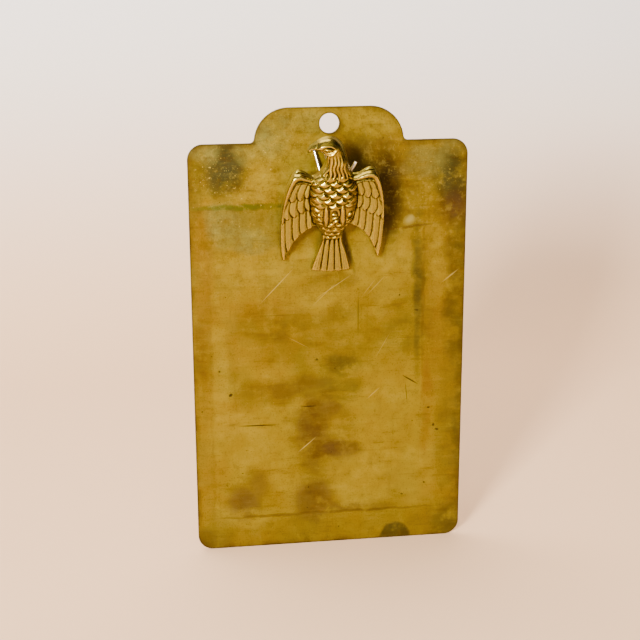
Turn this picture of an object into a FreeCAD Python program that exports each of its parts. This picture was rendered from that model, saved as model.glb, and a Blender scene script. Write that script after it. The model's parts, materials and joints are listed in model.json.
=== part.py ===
"""Brass memo clipboard: a flat sheet with a hang hole, and a sprung eagle clip. Millimetres.

Row frame: +Z up, +X to the viewer's right, -Y towards the viewer. The origin is the centre of the
hang hole on the sheet's back face, so the sheet fills y = -board_thickness to y = 0.

The eagle is drawn in a frame of its own, with its origin on the hinge axis: x across the wings,
y up the bird from tail to head, z out of its breast. Its body's Placement leans that frame
forward, so that the tail's edge closes on the sheet and the head stands well clear of it.
"""
import FreeCAD, Part
import math
import os
import Sketcher
from FreeCAD import Vector

SIZES = {
    # The sheet. Heights are measured from the hang hole's centre.
    "board_width": 152.4,
    "board_thickness": 1.6,
    "board_foot": -243.2,
    "shoulder_height": -9.75,
    "tab_rise": 18.55,
    "tab_flat_half": 22.0,
    "board_corner": 8.5,
    "tab_root_fillet": 2.5,
    "hang_hole_radius": 5.3,
    # The hinge axis, and the forward lean of the eagle about it.
    "hinge_out": 11.42,
    "hinge_up": -36.1,
    "clip_lean": 17.0,
    # The folded saddle that is riveted to the sheet.
    "saddle_gauge": 1.5,
    "saddle_inside_half": 5.6,
    "saddle_below_hinge": 12.0,
    "saddle_above_hinge": 11.0,
    "saddle_bend": 0.7,
    "ear_radius": 3.4,
    "ear_foot_half": 8.0,
    # The two rivets.
    "rivet_radius": 1.5,
    "rivet_head_radius": 2.6,
    "rivet_head_height": 1.1,
    "countersink_radius": 2.4,
    "rivet_below_hinge": 8.4,
    "rivet_above_hinge": 7.4,
    # The hinge pin.
    "pin_radius": 1.5,
    "pin_running_clearance": 0.05,
    "pin_head_radius": 2.4,
    "pin_head_height": 0.9,
    # The torsion spring.
    "wire_radius": 0.9,
    "coil_radius": 2.7,
    "coil_half_width": 3.3,
    "coil_turns": 3.5,
    "knee_rise": 1.4,
    "knee_bend": 2.0,
    "sheet_leg_across": -8.4,
    "sheet_leg_up": 22.4,
    "neck_leg_across": 11.4,
    "neck_leg_up": 19.9,
    "leg_clearance": 0.1,
    # The eagle casting.
    "back_plane": 3.7,
    "wing_gauge": 2.6,
    "breast_half_width": 12.7,
    "breast_half_length": 19.5,
    "breast_depth": 8.7,
    "breast_below_hinge": 3.5,
    "shell_gauge": 2.1,
    "neck_depth": 7.0,
    "head_depth": 6.6,
    "beak_gauge": 4.2,
    "lug_inside": 7.4,
    "lug_gauge": 2.2,
    "lug_radius": 3.3,
    "lug_top": 8.6,
    "lug_play": 0.15,
}

# The right half of the eagle's outline, as (bulge, end) steps from the middle of the shoulders.
# A step with a bulge point is an arc through it, and one without is a straight line.
SHOULDERS = (0.0, 13.0)
HALF_OUTLINE = [
    (None, (9.0, 12.0)),
    (None, (13.0, 14.5)),
    ((18.6, 18.4), (23.4, 13.5)),
    ((27.3, -2.0), (28.2, -20.0)),
    ((27.9, -29.0), (26.4, -36.2)),
    (None, (24.9, -35.2)),
    ((21.2, -24.0), (10.6, -14.6)),
    ((8.0, -18.0), (5.4, -23.5)),
    (None, (11.3, -43.8)),
    ((5.7, -44.7), (0.0, -45.0)),
]

# The hooked bill, as the same kind of steps, closed by a line inside the head.
BILL_START = (-8.5, 34.6)
BILL_OUTLINE = [
    ((-13.0, 32.4), (-15.6, 29.3)),
    ((-15.7, 27.9), (-14.8, 27.0)),
    ((-13.9, 28.3), (-12.4, 28.4)),
    ((-10.0, 28.4), (-7.0, 26.6)),
]

X_AXIS = Vector(1, 0, 0)

doc = FreeCAD.newDocument("clipboard")


def make_sheet():
    """The spreadsheet of driving dimensions, one alias to a row."""
    table = doc.addObject("Spreadsheet::Sheet", "Sheet")
    for row, (alias, value) in enumerate(SIZES.items(), start=1):
        table.set("A%d" % row, alias)
        table.set("B%d" % row, str(value))
        table.setAlias("B%d" % row, alias)
    doc.recompute()
    return table


sheet = make_sheet()


def value(expression):
    """The number that an expression over the sheet's aliases gives."""
    return float(sheet.evalExpression(expression))


def sheet_expression(expression):
    """The same expression as another object writes it, with each alias led by the sheet's name."""
    for alias in SIZES:
        expression = expression.replace("{%s}" % alias, "Sheet.%s" % alias)
    return expression


def plain_expression(expression):
    """The same expression as the sheet itself writes it."""
    return expression.replace("{", "").replace("}", "")


def bind(item, path, expression):
    """Ties a property to an expression, in which each alias stands in braces."""
    item.setExpression(path, sheet_expression(expression))


def measure(expression):
    """The number that an expression with its aliases in braces gives."""
    return value(plain_expression(expression))


# ---------------------------------------------------------------- bodies and sketches

def make_body(label):
    """An empty body whose label names its file."""
    body = doc.addObject("PartDesign::Body", label)
    body.Label = label
    return body


def origin_plane(body, role):
    """One of the body's own origin planes."""
    return next(item for item in body.Origin.OriginFeatures if item.Role == role)


def attach(item, body, role, lift="0"):
    """Lays a sketch or a primitive on an origin plane, lifted off it by an expression."""
    item.AttachmentSupport = [(origin_plane(body, role), "")]
    item.MapMode = "FlatFace"
    bind(item, "AttachmentOffset.Base.z", lift)
    return item


def make_sketch(body, name, role, lift="0"):
    """A sketch on one of the body's origin planes."""
    return attach(body.newObject("Sketcher::SketchObject", name), body, role, lift)


def fix_point(sketch, item, end, across, up):
    """Ties one end of a sketch item to two expressions, measured from the sketch's origin."""
    for kind, expression in (("DistanceX", across), ("DistanceY", up)):
        constraint = Sketcher.Constraint(kind, -1, 1, item, end, measure(expression))
        index = sketch.addConstraint(constraint)
        bind(sketch, "Constraints[%d]" % index, expression)


def add_loop(sketch, corners):
    """A closed loop of straight lines through corners, each a pair of expressions."""
    first = sketch.GeometryCount
    points = [Vector(measure(across), measure(up), 0) for across, up in corners]
    for start, end in zip(points, points[1:] + points[:1]):
        sketch.addGeometry(Part.LineSegment(start, end), False)
    for index, (across, up) in enumerate(corners):
        following = first + (index + 1) % len(corners)
        sketch.addConstraint(Sketcher.Constraint("Coincident", first + index, 2, following, 1))
        fix_point(sketch, first + index, 1, across, up)


def add_circle(sketch, across, up, radius):
    """A circle whose centre and radius are expressions."""
    centre = Vector(measure(across), measure(up), 0)
    circle = Part.Circle(centre, Vector(0, 0, 1), measure(radius))
    item = sketch.addGeometry(circle, False)
    fix_point(sketch, item, 3, across, up)
    index = sketch.addConstraint(Sketcher.Constraint("Radius", item, measure(radius)))
    bind(sketch, "Constraints[%d]" % index, radius)


def add_outline(sketch, start, steps):
    """A closed outline of lines and three-point arcs, drawn at its real size."""
    here = start
    for bulge, end in steps:
        if bulge is None:
            edge = Part.LineSegment(Vector(*here, 0), Vector(*end, 0))
        else:
            edge = Part.ArcOfCircle(Vector(*here, 0), Vector(*bulge, 0), Vector(*end, 0))
        sketch.addGeometry(edge, False)
        here = end
    if here != start:
        sketch.addGeometry(Part.LineSegment(Vector(*here, 0), Vector(*start, 0)), False)


def mirrored(start, steps):
    """An outline that runs round the right half and back up the left, to where it began."""
    ends = [start] + [end for _, end in steps]
    bulges = [bulge for bulge, _ in steps]
    back = []
    for index in range(len(steps) - 1, -1, -1):
        bulge = bulges[index]
        flipped = None if bulge is None else (-bulge[0], bulge[1])
        back.append((flipped, (-ends[index][0], ends[index][1])))
    return steps + back


def pad(body, sketch, name, length, midplane=False, reverse=False):
    """A pad of the sketch, by an expression."""
    feature = body.newObject("PartDesign::Pad", name)
    feature.Profile = sketch
    feature.Midplane = midplane
    feature.Reversed = reverse
    bind(feature, "Length", length)
    return feature


def cut_through(body, sketch, name):
    """A pocket of the sketch, both ways through everything."""
    doc.recompute()
    before = body.Shape.Volume
    feature = body.newObject("PartDesign::Pocket", name)
    feature.Profile = sketch
    feature.Type = "ThroughAll"
    feature.Midplane = True
    doc.recompute()
    if body.Shape.Volume >= before:
        raise RuntimeError("%s cuts nothing" % name)
    return feature


def revolve(body, sketch, name, axis):
    """A full turn of the sketch about one of its own axes."""
    feature = body.newObject("PartDesign::Revolution", name)
    feature.Profile = sketch
    feature.ReferenceAxis = (sketch, [axis])
    feature.Angle = 360
    return feature


def edges_where(shape, wanted):
    """The names of a shape's edges that pass a test."""
    return ["Edge%d" % (index + 1) for index, edge in enumerate(shape.Edges) if wanted(edge)]


def round_edges(body, base, name, radius, wanted):
    """A fillet on the edges of a feature that pass a test."""
    doc.recompute()
    feature = body.newObject("PartDesign::Fillet", name)
    feature.Base = (base, edges_where(base.Shape, wanted))
    bind(feature, "Radius", radius)
    return feature


def place_at_hinge(body):
    """Puts a body whose origin lies on the hinge axis where the clip hinges."""
    bind(body, "Placement.Base.y", "-{hinge_out}")
    bind(body, "Placement.Base.z", "{hinge_up}")


def edge_at(edge, across, up):
    """Whether an edge runs through the sheet's thickness at a place on its face."""
    box = edge.BoundBox
    through = box.YLength > measure("{board_thickness}") * 0.9
    narrow = max(box.XLength, box.ZLength) < 0.01
    near = abs(abs(box.Center.x) - across) < 0.5 and abs(box.Center.z - up) < 0.5
    return through and narrow and near


# ---------------------------------------------------------------- the sheet

def make_board():
    """The sheet, with its tab, its rounded corners, the hang hole and two countersunk holes."""
    body = make_body("board_plate")
    half = "{board_width} / 2"
    blank = make_sketch(body, "blank_outline", "XZ_Plane")
    add_loop(blank, [
        ("-" + half, "{board_foot}"),
        (half, "{board_foot}"),
        (half, "{shoulder_height}"),
        ("-" + half, "{shoulder_height}"),
    ])
    pad(body, blank, "blank", "{board_thickness}")

    flat = measure("{tab_flat_half}")
    shoulder = measure("{shoulder_height}")
    rise = measure("{tab_rise}")
    bow = rise * math.sqrt(0.5)
    tab = make_sketch(body, "tab_outline", "XZ_Plane")
    add_outline(tab, (-flat - rise, shoulder - rise), [
        (None, (flat + rise, shoulder - rise)),
        (None, (flat + rise, shoulder)),
        ((flat + bow, shoulder + bow), (flat, shoulder + rise)),
        (None, (-flat, shoulder + rise)),
        ((-flat - bow, shoulder + bow), (-flat - rise, shoulder)),
    ])
    tab_pad = pad(body, tab, "tab", "{board_thickness}")

    foot = measure("{board_foot}")
    half_width = measure(half)
    corners = round_edges(
        body, tab_pad, "corners", "{board_corner}",
        lambda edge: edge_at(edge, half_width, foot) or edge_at(edge, half_width, shoulder))
    root = flat + rise
    round_edges(body, corners, "tab_roots", "{tab_root_fillet}",
                lambda edge: edge_at(edge, root, shoulder))

    holes = make_sketch(body, "holes", "XZ_Plane")
    add_circle(holes, "0", "0", "{hang_hole_radius}")
    add_circle(holes, "0", "{hinge_up} + {rivet_above_hinge}", "{rivet_radius}")
    add_circle(holes, "0", "{hinge_up} - {rivet_below_hinge}", "{rivet_radius}")
    cut_through(body, holes, "hole_cut")

    for name, up in (("upper", "{hinge_up} + {rivet_above_hinge}"),
                     ("lower", "{hinge_up} - {rivet_below_hinge}")):
        cone = body.newObject("PartDesign::SubtractiveCone", "countersink_" + name)
        cone.AttachmentSupport = [(origin_plane(body, "XZ_Plane"), "")]
        cone.MapMode = "FlatFace"
        bind(cone, "AttachmentOffset.Base.y", up)
        bind(cone, "Radius1", "{countersink_radius}")
        bind(cone, "Radius2", "{rivet_radius}")
        bind(cone, "Height", "{countersink_radius} - {rivet_radius}")


# ---------------------------------------------------------------- what holds the clip

def make_clip_base():
    """The saddle: a strap on the sheet and two ears, folded from one strip."""
    body = make_body("clip_base")
    strap_front = "{hinge_out} - {board_thickness} - {saddle_gauge}"
    strap_back = "{hinge_out} - {board_thickness}"

    # Seen from the side, y runs towards the sheet and z up, both from the hinge axis.
    strap = make_sketch(body, "strap_section", "YZ_Plane")
    add_loop(strap, [
        (strap_front, "-{saddle_below_hinge}"),
        (strap_back, "-{saddle_below_hinge}"),
        (strap_back, "{saddle_above_hinge}"),
        (strap_front, "{saddle_above_hinge}"),
    ])
    pad(body, strap, "strap", "2 * ({saddle_inside_half} + {saddle_gauge})", midplane=True)

    # The ear's sides are tangents from its foot to the round about the pin.
    radius = measure("{ear_radius}")
    foot = measure("{ear_foot_half}")
    back = measure(strap_back)
    spread = math.atan2(foot, back) + math.acos(radius / math.hypot(foot, back))
    touch = (radius * math.cos(spread), radius * math.sin(spread))
    ears = make_sketch(body, "ear_section", "YZ_Plane")
    add_outline(ears, (back, -foot), [
        (None, (back, foot)),
        (None, touch),
        ((-radius, 0.0), (touch[0], -touch[1])),
    ])
    pad(body, ears, "ears", "2 * ({saddle_inside_half} + {saddle_gauge})", midplane=True)

    channel = make_sketch(body, "channel_section", "XY_Plane")
    add_loop(channel, [
        ("-{saddle_inside_half}", "-2 * {ear_radius}"),
        ("{saddle_inside_half}", "-2 * {ear_radius}"),
        ("{saddle_inside_half}", strap_front),
        ("-{saddle_inside_half}", strap_front),
    ])
    channel_cut = cut_through(body, channel, "channel")

    inside = measure("{saddle_inside_half}")
    front = measure(strap_front)
    round_edges(body, channel_cut, "bends", "{saddle_bend}",
                lambda edge: edge.BoundBox.ZLength > foot
                and abs(abs(edge.BoundBox.Center.x) - inside) < 0.01
                and abs(edge.BoundBox.Center.y - front) < 0.01)

    pin_hole = make_sketch(body, "pin_hole", "YZ_Plane")
    add_circle(pin_hole, "0", "0", "{pin_radius}")
    cut_through(body, pin_hole, "pin_hole_cut")

    rivet_holes = make_sketch(body, "rivet_holes", "XZ_Plane")
    add_circle(rivet_holes, "0", "{rivet_above_hinge}", "{rivet_radius}")
    add_circle(rivet_holes, "0", "-{rivet_below_hinge}", "{rivet_radius}")
    cut_through(body, rivet_holes, "rivet_hole_cut")
    place_at_hinge(body)


def make_rivet(label, above_hinge):
    """A rivet with a button head on the saddle, filled flush into the sheet's countersink."""
    body = make_body(label)
    sink = "{countersink_radius} - {rivet_radius}"
    seat = "{board_thickness} + {saddle_gauge}"
    top = seat + " + {rivet_head_height}"
    # Half of the rivet's section: radius across, and distance out from the sheet's back up.
    section = make_sketch(body, "section", "XY_Plane")
    add_loop(section, [
        ("0", "0"),
        ("{countersink_radius}", "0"),
        ("{rivet_radius}", "-(" + sink + ")"),
        ("{rivet_radius}", "-(" + seat + ")"),
        ("{rivet_head_radius}", "-(" + seat + ")"),
        ("{rivet_head_radius}", "-(" + seat + ") - {rivet_head_height} * 0.45"),
        ("{rivet_head_radius} * 0.62", "-(" + top + ")"),
        ("0", "-(" + top + ")"),
    ])
    turned = revolve(body, section, "turned", "V_Axis")
    doc.recompute()
    rim = measure("{rivet_head_radius}") * 0.62
    round_edges(body, turned, "crown", "{rivet_head_height} * 0.4",
                lambda edge: abs(edge.BoundBox.XLength - 2 * rim) < 0.01)
    bind(body, "Placement.Base.z", "{hinge_up} + " + above_hinge)


def make_hinge_pin():
    """The pin through ears and lugs, its two ends peened over into low heads."""
    body = make_body("hinge_pin")
    neck = "({lug_inside} + {lug_gauge} + {lug_play})"
    end = "(" + neck + " + {pin_head_height})"
    section = make_sketch(body, "section", "XY_Plane")
    add_loop(section, [
        ("-" + end, "0"),
        (end, "0"),
        (end, "{pin_head_radius} * 0.6"),
        (neck + " + {pin_head_height} * 0.5", "{pin_head_radius}"),
        (neck, "{pin_head_radius}"),
        (neck, "{pin_radius}"),
        ("-" + neck, "{pin_radius}"),
        ("-" + neck, "{pin_head_radius}"),
        ("-" + neck + " - {pin_head_height} * 0.5", "{pin_head_radius}"),
        ("-" + end, "{pin_head_radius} * 0.6"),
    ])
    revolve(body, section, "turned", "H_Axis")
    place_at_hinge(body)


def bent_leg(start, heading, end):
    """A spring leg: a short rise out of the coil, one bend, and a straight run to its end."""
    knee = start + heading * measure("{knee_rise}")
    away = (end - knee).normalize()
    half_turn = math.acos(heading.dot(away)) / 2
    bend_radius = measure("{knee_bend}")
    reach = bend_radius * math.tan(half_turn)
    sag = bend_radius * (1 / math.cos(half_turn) - 1)
    before = knee - heading * reach
    after = knee + away * reach
    middle = knee + (away - heading).normalize() * sag
    return [
        Part.LineSegment(start, before).toShape(),
        Part.Arc(before, middle, after).toShape(),
        Part.LineSegment(after, end).toShape(),
    ]


def make_torsion_spring():
    """The coil round the pin, with one leg down on the sheet and one up behind the neck."""
    wire_radius = measure("{wire_radius}")
    half_width = measure("{coil_half_width}")
    pitch = 2 * half_width / measure("{coil_turns}")
    helix = Part.makeHelix(pitch, 2 * half_width, measure("{coil_radius}"), 0, True)
    lie_along_pin = FreeCAD.Rotation(Vector(0, 1, 0), Vector(0, 0, 1), Vector(1, 0, 0), "ZXY")
    helix.Placement = FreeCAD.Placement(Vector(-half_width, 0, 0), lie_along_pin)
    coil = helix.Edges[0]
    coil_start = coil.valueAt(coil.FirstParameter)
    coil_end = coil.valueAt(coil.LastParameter)
    back_out = coil.tangentAt(coil.FirstParameter) * -1
    on_out = coil.tangentAt(coil.LastParameter)

    off_surface = wire_radius + measure("{leg_clearance}")
    sheet_face = measure("{hinge_out} - {board_thickness}")
    sheet_end = Vector(
        measure("{sheet_leg_across}"), sheet_face - off_surface, measure("{sheet_leg_up}"))
    lean = FreeCAD.Rotation(X_AXIS, 90 + measure("{clip_lean}"))
    neck_end = lean.multVec(Vector(
        measure("{neck_leg_across}"), measure("{neck_leg_up}"),
        measure("{back_plane}") - off_surface))

    sheet_leg = bent_leg(coil_start, back_out, sheet_end)
    neck_leg = bent_leg(coil_end, on_out, neck_end)
    path = Part.Wire(sheet_leg[::-1] + [coil] + neck_leg)
    section = Part.Wire([Part.makeCircle(wire_radius, sheet_end, sheet_end - coil_start)])
    spring = doc.addObject("Part::Feature", "torsion_spring")
    spring.Label = "torsion_spring"
    spring.Shape = path.makePipeShell([section], True, True)
    place_at_hinge(spring)
    expected = math.pi * wire_radius ** 2 * path.Length
    if abs(spring.Shape.Volume - expected) > 0.01 * expected:
        raise RuntimeError("the spring's volume is not its wire's section times its length")


# ---------------------------------------------------------------- the eagle

def half_ellipsoid(body, kind, name, centre, half_across, half_up, depth):
    """The front half of an ellipsoid that stands on the eagle's back plane."""
    dome = body.newObject("PartDesign::" + kind, name)
    attach(dome, body, "XY_Plane", "{back_plane}")
    bind(dome, "AttachmentOffset.Base.x", centre[0])
    bind(dome, "AttachmentOffset.Base.y", centre[1])
    bind(dome, "Radius1", depth)
    bind(dome, "Radius2", half_across)
    bind(dome, "Radius3", half_up)
    dome.Angle1 = 0
    dome.Angle2 = 90
    dome.Angle3 = 360


def make_eagle():
    """The casting: wings, tail and trunk from one outline, with breast, neck, head and bill."""
    body = make_body("eagle_casting")
    outline = make_sketch(body, "outline", "XY_Plane", "{back_plane}")
    add_outline(outline, SHOULDERS, mirrored(SHOULDERS, HALF_OUTLINE))
    pad(body, outline, "wings_and_tail", "{wing_gauge}")

    breast = ("0", "-{breast_below_hinge}")
    half_ellipsoid(body, "AdditiveEllipsoid", "breast", breast,
                   "{breast_half_width}", "{breast_half_length}", "{breast_depth}")
    half_ellipsoid(body, "AdditiveEllipsoid", "neck", ("1.0", "18.5"),
                   "8.0", "13.5", "{neck_depth}")
    half_ellipsoid(body, "AdditiveEllipsoid", "head", ("-3.0", "29.6"),
                   "7.0", "6.9", "{head_depth}")
    half_ellipsoid(body, "SubtractiveEllipsoid", "hollow", breast,
                   "{breast_half_width} - {shell_gauge}",
                   "{breast_half_length} - {shell_gauge}",
                   "{breast_depth} - {shell_gauge}")

    bill = make_sketch(body, "bill_outline", "XY_Plane", "{back_plane} + 0.4")
    add_outline(bill, BILL_START, BILL_OUTLINE)
    pad(body, bill, "bill", "{beak_gauge}")

    for side, reverse in (("left", True), ("right", False)):
        inside = "-{lug_inside}" if reverse else "{lug_inside}"
        lug = make_sketch(body, side + "_lug_section", "YZ_Plane", inside)
        radius = measure("{lug_radius}")
        top = measure("{lug_top}")
        add_outline(lug, (-radius, 0.0), [
            ((0.0, -radius), (radius, 0.0)),
            (None, (radius, top)),
            (None, (-radius, top)),
        ])
        pad(body, lug, side + "_lug", "{lug_gauge}", reverse=reverse)

    pin_hole = make_sketch(body, "pin_hole", "YZ_Plane")
    add_circle(pin_hole, "0", "0", "{pin_radius} + {pin_running_clearance}")
    cut_through(body, pin_hole, "pin_hole_cut")
    body.Placement.Rotation = FreeCAD.Rotation(X_AXIS, 90)
    place_at_hinge(body)
    bind(body, "Placement.Rotation.Angle", "90 + {clip_lean}")


# ---------------------------------------------------------------- building and writing

def check(item):
    """Stops unless an object recomputed cleanly."""
    if "Invalid" in item.State or "Error" in item.State:
        raise RuntimeError("%s did not recompute: %s" % (item.Name, item.State))


def write_parts():
    """Writes each sub-part to a STEP file named after its label."""
    os.makedirs("parts", exist_ok=True)
    labels = [body.Label for body in doc.Objects
              if body.TypeId == "PartDesign::Body" or body.Label == "torsion_spring"]
    for label in labels:
        shape = doc.getObjectsByLabel(label)[0].Shape
        if shape.isNull() or not shape.isValid() or len(shape.Solids) != 1:
            raise RuntimeError("%s is not one valid solid" % label)
        shape.exportStep("parts/%s.step" % label)
        box = shape.BoundBox
        print("%-16s %8.1f mm3   x %6.1f..%6.1f  y %6.1f..%6.1f  z %7.1f..%6.1f" % (
            label, shape.Volume, box.XMin, box.XMax, box.YMin, box.YMax, box.ZMin, box.ZMax))


make_board()
make_clip_base()
make_rivet("rivet_upper", "{rivet_above_hinge}")
make_rivet("rivet_lower", "-{rivet_below_hinge}")
make_hinge_pin()
make_torsion_spring()
make_eagle()
doc.recompute()
for made in doc.Objects:
    check(made)
write_parts()
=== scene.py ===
"""Looks for the brass clipboard: the eagle's relief, the tarnished sheet, the spring and the stage.

Lengths in this file are millimetres until they reach a mesh, which is in metres. The eagle is
modelled in its own frame: its origin is on the hinge axis, x runs across the wings, y up the bird
and z out of its breast.
"""
import json
import math
import bmesh
import bpy
import numpy as np
from mathutils import Euler, Matrix, Vector


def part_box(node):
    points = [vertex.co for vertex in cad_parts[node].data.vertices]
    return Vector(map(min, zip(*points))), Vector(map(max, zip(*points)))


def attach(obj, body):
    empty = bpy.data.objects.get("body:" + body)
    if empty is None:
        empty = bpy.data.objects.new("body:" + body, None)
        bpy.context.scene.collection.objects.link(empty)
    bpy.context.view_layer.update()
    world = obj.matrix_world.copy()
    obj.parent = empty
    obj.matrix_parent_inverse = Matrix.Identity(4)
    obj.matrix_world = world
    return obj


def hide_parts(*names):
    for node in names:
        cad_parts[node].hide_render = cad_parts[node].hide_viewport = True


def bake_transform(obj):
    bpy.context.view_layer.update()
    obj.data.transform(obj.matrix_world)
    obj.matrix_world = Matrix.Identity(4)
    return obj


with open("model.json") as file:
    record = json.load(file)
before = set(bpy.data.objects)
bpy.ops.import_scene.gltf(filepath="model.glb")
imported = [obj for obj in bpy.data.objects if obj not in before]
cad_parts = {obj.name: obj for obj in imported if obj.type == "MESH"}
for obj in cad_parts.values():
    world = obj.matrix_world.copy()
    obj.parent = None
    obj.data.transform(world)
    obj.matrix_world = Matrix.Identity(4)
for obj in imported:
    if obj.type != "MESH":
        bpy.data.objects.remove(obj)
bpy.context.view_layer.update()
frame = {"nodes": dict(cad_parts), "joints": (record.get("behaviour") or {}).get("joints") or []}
MM = 0.001


def in_mm(length):
    """A length of the frame in millimetres, to the thousandth."""
    return round(length / MM, 3)


HINGE = Vector(frame["joints"][0]["pos_m"])
HINGE_OUT = in_mm(-HINGE.y)
LEAN = math.radians(17.0)
SHEET_LOW, SHEET_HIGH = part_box("board_plate")
FLOOR_HEIGHT = SHEET_LOW[2]
SHEET_FRONT = SHEET_LOW[1]
SHEET_GAUGE = in_mm(-SHEET_LOW[1])
SHEET_HALF = in_mm(SHEET_HIGH[0])
SHEET_FOOT = in_mm(SHEET_LOW[2])
SHEET_CORNER = 8.5
TAB_FLAT_HALF = 22.0
TAB_RISE = 18.55
TAB_ROOT_FILLET = 2.5
SHOULDER = in_mm(SHEET_HIGH[2]) - TAB_RISE
HOLE_RADIUS = 5.3
COIL_HALF = 3.3


# ---- shared tools

def place_object(name, data):
    """A new object in the scene."""
    made = bpy.data.objects.new(name, data)
    bpy.context.scene.collection.objects.link(made)
    return made


def arc(centre, radius, start, end, steps):
    """Points round an arc, from one angle to another in degrees."""
    turns = [math.radians(start + (end - start) * k / steps) for k in range(steps + 1)]
    return [(centre[0] + radius * math.cos(t), centre[1] + radius * math.sin(t)) for t in turns]


def ring_faces(rings, around):
    """The faces of a tube whose points come ring by ring."""
    faces = []
    for row in range(rings - 1):
        for k in range(around):
            m = (k + 1) % around
            faces.append((row * around + k, row * around + m,
                          (row + 1) * around + m, (row + 1) * around + k))
    return faces


def add_mesh(name, verts, faces, sharp):
    """An object from millimetre points and faces, smooth but for edges over sharp degrees."""
    mesh = bpy.data.meshes.new(name)
    mesh.from_pydata([tuple(c * MM for c in v) for v in verts], [], faces)
    mesh.validate()
    bm = bmesh.new()
    bm.from_mesh(mesh)
    bmesh.ops.recalc_face_normals(bm, faces=bm.faces)
    for edge in bm.edges:
        edge.smooth = edge.calc_face_angle(0) < math.radians(sharp)
    bm.to_mesh(mesh)
    bm.free()
    for face in mesh.polygons:
        face.use_smooth = True
    return place_object(name, mesh)


def make_material(name):
    """An empty node material and its shader."""
    material = bpy.data.materials.new(name)
    material.use_nodes = True
    return material, material.node_tree.nodes["Principled BSDF"]


class Paint:
    """A node material that is built up as layers of colour over one base."""

    def __init__(self, name, colour):
        self.material, self.shader = make_material(name)
        self.tree = self.material.node_tree
        self.place = self.node("TexCoord").outputs["Object"]
        self.flat = self.node("VectorMath", {0: self.place}, operation="ADD").outputs[0]
        self.colour = self.node("RGB").outputs[0]
        self.colour.default_value = (*colour, 1)

    def node(self, kind, values=(), **settings):
        """A new shader node; its inputs take numbers or other nodes' outputs."""
        made = self.tree.nodes.new("ShaderNode" + kind)
        for key, value in settings.items():
            setattr(made, key, value)
        for key, value in dict(values).items():
            if isinstance(value, bpy.types.NodeSocket):
                self.tree.links.new(value, made.inputs[key])
            else:
                made.inputs[key].default_value = value
        return made

    def math(self, operation, a, b=0.0):
        return self.node("Math", {0: a, 1: b}, operation=operation).outputs[0]

    def remap(self, value, low, high, out_low=0.0, out_high=1.0):
        return self.node("MapRange",
                         {"Value": value, "From Min": low, "From Max": high,
                          "To Min": out_low, "To Max": out_high},
                         interpolation_type="SMOOTHSTEP").outputs["Result"]

    def noise(self, scale, detail=4.0, roughness=0.55, stretch=(1, 1, 1), shift=0.0):
        mapped = self.node("Mapping", {"Vector": self.place, "Scale": stretch,
                                       "Location": (shift, shift, shift)}).outputs[0]
        return self.node("TexNoise", {"Vector": mapped, "Scale": scale, "Detail": detail,
                                      "Roughness": roughness}).outputs["Fac"]

    def warp(self, scale, amount):
        """The place coordinates, pushed about by up to an amount, in metres."""
        noise = self.node("TexNoise", {"Vector": self.place, "Scale": scale, "Detail": 4.0})
        centred = self.node("VectorMath", {0: noise.outputs["Color"], 1: (0.5, 0.5, 0.5)},
                            operation="SUBTRACT").outputs[0]
        scaled = self.node("VectorMath", {0: centred, "Scale": amount},
                           operation="SCALE").outputs[0]
        return self.node("VectorMath", {0: self.place, 1: scaled}, operation="ADD").outputs[0]

    def layer(self, share, colour, texture=None):
        """Covers a share of the colour so far with another colour, less where a texture is low."""
        if texture is not None:
            share = self.math("MULTIPLY", share, texture)
        self.colour = self.node("Mix", {0: share, 6: self.colour, 7: (*colour, 1)},
                                data_type="RGBA").outputs[2]

    def drive(self, name, value):
        """Sets one of the shader's inputs, to a number or from a node."""
        if isinstance(value, bpy.types.NodeSocket):
            self.tree.links.new(value, self.shader.inputs[name])
        else:
            self.shader.inputs[name].default_value = value

    def bump(self, height, strength, distance):
        made = self.node("Bump", {"Height": height, "Strength": strength, "Distance": distance})
        self.drive("Normal", made.outputs["Normal"])

    def finish(self):
        self.drive("Base Color", self.colour)
        return self.material


# ---- camera, stage and light

def make_camera():
    """The view: from the left, a little above, with a long lens."""
    data = bpy.data.cameras.new("camera")
    data.sensor_width = 36.0
    data.lens = 75.04
    data.clip_start = 0.01
    camera = place_object("camera", data)
    camera.location = (-0.1054, SHEET_FRONT - 0.7041, FLOOR_HEIGHT + 0.33895)
    aim = Euler((math.radians(90 - 16.05), 0, math.radians(-8.08))).to_matrix()
    roll = Matrix.Rotation(math.radians(-0.21), 3, "Z")
    camera.rotation_euler = (aim @ roll).to_euler()
    bpy.context.scene.camera = camera


def make_stage():
    """A pale seamless sweep: a warm floor, a wide cove and a whiter back wall."""
    floor = FLOOR_HEIGHT
    near, far, cove, top, half = -5.0, 0.75, 0.45, 2.2, 5.0
    bend = arc((far - cove, floor + cove), cove, -90, 0, 24)
    profile = [(near, floor)] + bend + [(far, floor + top)]
    verts = [(side, y, z) for y, z in profile for side in (-half, half)]
    faces = [(2 * i, 2 * i + 1, 2 * i + 3, 2 * i + 2) for i in range(len(profile) - 1)]
    mesh = bpy.data.meshes.new("sweep")
    mesh.from_pydata(verts, [], faces)
    for face in mesh.polygons:
        face.use_smooth = True
    sweep = place_object("sweep", mesh)
    p = Paint("sweep_paper", (0.86, 0.54, 0.31))
    x, _, z = p.node("SeparateXYZ", {0: p.place}).outputs
    p.layer(p.remap(z, floor - 0.02, floor + 0.32), (0.93, 0.89, 0.85))
    # Painted shade: the sweep darkens towards the right, as the light falls off.
    p.layer(p.remap(x, 0.6, 1.8), (0.30, 0.26, 0.22))
    p.drive("Roughness", 0.9)
    mesh.materials.append(p.finish())


def add_area(name, place, target, width, height, power, colour):
    """A soft rectangular light that looks at a target."""
    data = bpy.data.lights.new(name, "AREA")
    data.shape = "RECTANGLE"
    data.size = width
    data.size_y = height
    data.energy = power
    data.color = colour
    light = place_object(name, data)
    light.location = place
    light.rotation_euler = (Vector(target) - Vector(place)).to_track_quat("-Z", "Y").to_euler()


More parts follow.
